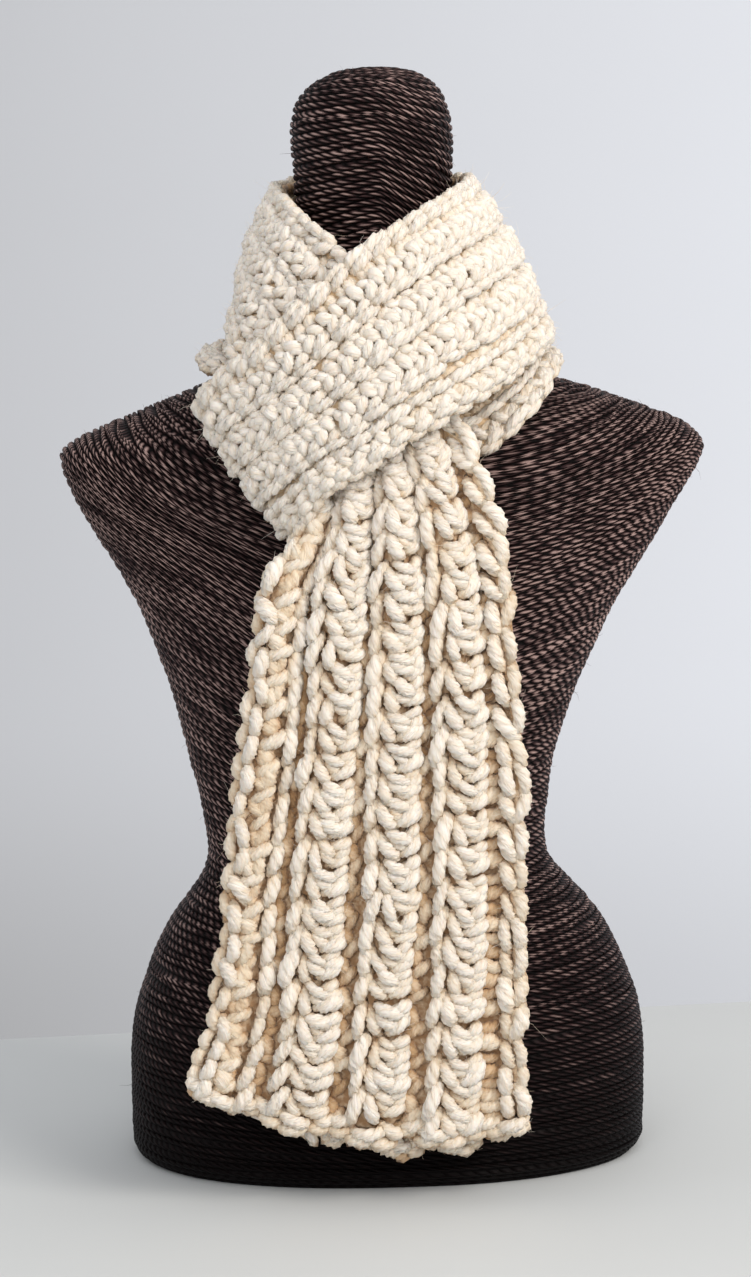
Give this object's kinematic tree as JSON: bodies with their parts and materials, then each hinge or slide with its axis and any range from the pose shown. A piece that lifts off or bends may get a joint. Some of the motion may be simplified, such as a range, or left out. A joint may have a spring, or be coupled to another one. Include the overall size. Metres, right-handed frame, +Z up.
{
  "type": "crochet scarf on a dress form",
  "caption": "Thick ribbed crochet scarf folded in half and looped round the neck of a limbless dress form, its two tails hanging down the front through the loop.",
  "frame": {"origin": "middle of the flat underside of the dress form's base", "axes": "+Z up the form, -Y the way the form faces, +X towards a viewer's right when the viewer looks at its front"},
  "size_m": [0.3695, 0.2273, 0.6255],
  "materials": {
    "yarn": "matte, very thick plied yarn in cream, slightly fuzzy",
    "twine": "dark brown twisted paper or seagrass twine wound over the form, satin"
  },
  "bodies": {
    "root": {"dress_form": "twine", "loop_front": "yarn", "loop_fold": "yarn", "loop_under": "yarn", "nape_outer": "yarn", "nape_inner": "yarn", "side_outer": "yarn", "side_inner": "yarn", "tail_front": "yarn", "tail_rear": "yarn"}
  },
  "joints": []
}
